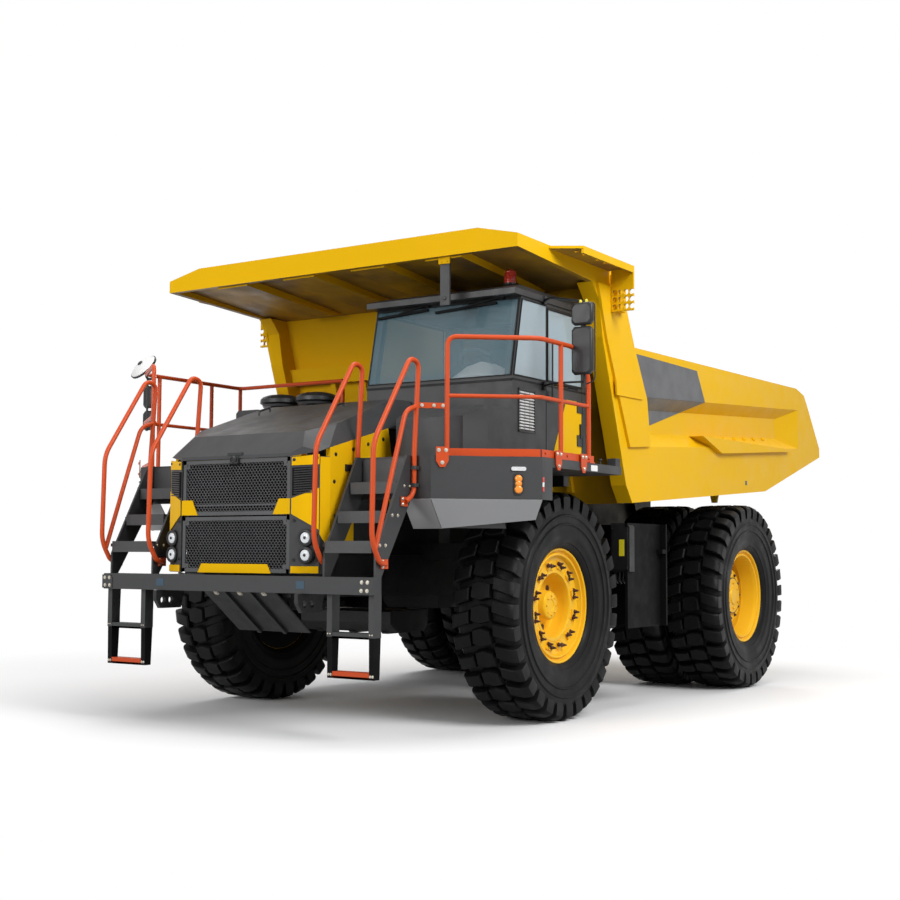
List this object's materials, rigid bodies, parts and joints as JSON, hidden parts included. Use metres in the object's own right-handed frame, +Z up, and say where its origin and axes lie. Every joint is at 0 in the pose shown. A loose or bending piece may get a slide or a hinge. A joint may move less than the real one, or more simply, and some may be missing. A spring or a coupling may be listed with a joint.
{
  "type": "rigid dump truck",
  "caption": "Off-highway rigid dump truck with hollow cab, tipping bed under a canopy, telescopic hoists, steered front wheels and twin rear wheels.",
  "frame": {"origin": "on the floor under the middle of the truck's overall length and width", "axes": "+X towards the front bumper, +Y to the driver's left, +Z up"},
  "size_m": [9.74, 5.364, 4.555],
  "materials": {
    "body_yellow": "warm yellow gloss paint with light dust",
    "wheel_yellow": "warm yellow gloss paint",
    "charcoal": "dark charcoal satin paint",
    "frame_black": "near-black satin paint",
    "rail_red": "orange-red gloss paint",
    "step_metal": "worn grey metal",
    "tyre": "matte black rubber",
    "glass": "blue-tinted glass",
    "interior": "dark matte trim",
    "black_plastic": "satin black",
    "engine_grey": "cast iron grey",
    "flap_rubber": "black rubber sheet",
    "piston_steel": "ground steel",
    "lamp_housing": "charcoal satin housing round clear lenses"
  },
  "bodies": {
    "chassis": {"chassis_frame": "frame_black", "engine_block": "engine_grey", "front_bumper": "frame_black", "hood": "charcoal", "hood_sides": "body_yellow", "grille": "charcoal", "front_lamps": "lamp_housing", "air_intakes": "black_plastic", "deck_left": "charcoal", "deck_right": "charcoal", "handrails_left": "rail_red", "handrails_right": "rail_red", "stairs": "step_metal", "boarding_ladders": "rail_red", "mirrors": "black_plastic", "cab_shell": "charcoal", "cab_windows": "glass", "cab_interior": "interior", "side_tanks": "frame_black", "mudflaps": "flap_rubber", "deck_supports": "frame_black", "strut_towers": "frame_black", "suspension_struts": "frame_black", "rear_axle": "frame_black"},
    "door": {"cab_door": "charcoal", "door_window": "glass"},
    "steering_wheel": {"steering_wheel": "interior"},
    "knuckle_left": {"knuckle_left": "frame_black"},
    "knuckle_right": {"knuckle_right": "frame_black"},
    "wheel_front_left": {"tyre_front_left": "tyre", "rim_front_left": "wheel_yellow"},
    "wheel_front_right": {"tyre_front_right": "tyre", "rim_front_right": "wheel_yellow"},
    "wheels_rear_left": {"tyres_rear_left": "tyre", "rims_rear_left": "wheel_yellow"},
    "wheels_rear_right": {"tyres_rear_right": "tyre", "rims_rear_right": "wheel_yellow"},
    "hoist_barrels": {"hoist_barrels": "frame_black"},
    "hoist_sleeves": {"hoist_sleeves": "piston_steel"},
    "hoist_rods": {"hoist_rods": "piston_steel"},
    "bed": {"bed_floor": "body_yellow", "bed_front_wall": "body_yellow", "bed_canopy": "body_yellow", "bed_side_left": "body_yellow", "bed_side_right": "body_yellow"}
  },
  "joints": [
    {"name": "bed_tip", "type": "hinge", "parent": "chassis", "child": "bed", "pos_m": [-2.59, 0, 1.75], "axis": [0, -1, 0], "range_deg": [0, 55]},
    {"name": "hoist_lean", "type": "hinge", "parent": "chassis", "child": "hoist_barrels", "pos_m": [-0.79, 0, 0.9], "axis": [0, -1, 0], "range_deg": [0, 28.97]},
    {"name": "hoist_first_stage", "type": "slide", "parent": "hoist_barrels", "child": "hoist_sleeves", "axis": [0.1789, 0, 0.9839], "range_m": [0, 0.8455]},
    {"name": "hoist_second_stage", "type": "slide", "parent": "hoist_sleeves", "child": "hoist_rods", "axis": [0.1789, 0, 0.9839], "range_m": [0, 0.8455]},
    {"name": "steer_left", "type": "hinge", "parent": "chassis", "child": "knuckle_left", "pos_m": [2.31, 1.15, 1.0875], "axis": [0, 0, 1], "range_deg": [-36, 36]},
    {"name": "steer_right", "type": "hinge", "parent": "chassis", "child": "knuckle_right", "pos_m": [2.31, -1.15, 1.0875], "axis": [0, 0, 1], "range_deg": [-36, 36]},
    {"name": "wheel_front_left_spin", "type": "hinge", "parent": "knuckle_left", "child": "wheel_front_left", "pos_m": [2.31, 1.733, 1.0875], "axis": [0, 1, 0], "continuous": true},
    {"name": "wheel_front_right_spin", "type": "hinge", "parent": "knuckle_right", "child": "wheel_front_right", "pos_m": [2.31, -1.733, 1.0875], "axis": [0, 1, 0], "continuous": true},
    {"name": "wheels_rear_left_spin", "type": "hinge", "parent": "chassis", "child": "wheels_rear_left", "pos_m": [-1.89, 1.572, 1.0875], "axis": [0, 1, 0], "continuous": true},
    {"name": "wheels_rear_right_spin", "type": "hinge", "parent": "chassis", "child": "wheels_rear_right", "pos_m": [-1.89, -1.572, 1.0875], "axis": [0, 1, 0], "continuous": true},
    {"name": "cab_door_swing", "type": "hinge", "parent": "chassis", "child": "door", "pos_m": [1.823, 1.964, 3], "axis": [0, 0, 1], "range_deg": [0, 80]},
    {"name": "steering_wheel_turn", "type": "hinge", "parent": "chassis", "child": "steering_wheel", "pos_m": [2.57, 1.2, 3.43], "axis": [-0.6, 0, 0.8], "range_deg": [-540, 540]}
  ],
  "couplings": [
    {"joint": "hoist_lean", "follows": "bed_tip", "ratio": 0.51941},
    {"joint": "hoist_first_stage", "follows": "bed_tip", "m_per_rad": 0.87872},
    {"joint": "hoist_second_stage", "follows": "bed_tip", "m_per_rad": 0.87872},
    {"joint": "steer_right", "follows": "steer_left", "ratio": 1},
    {"joint": "steering_wheel_turn", "follows": "steer_left", "ratio": 15}
  ]
}
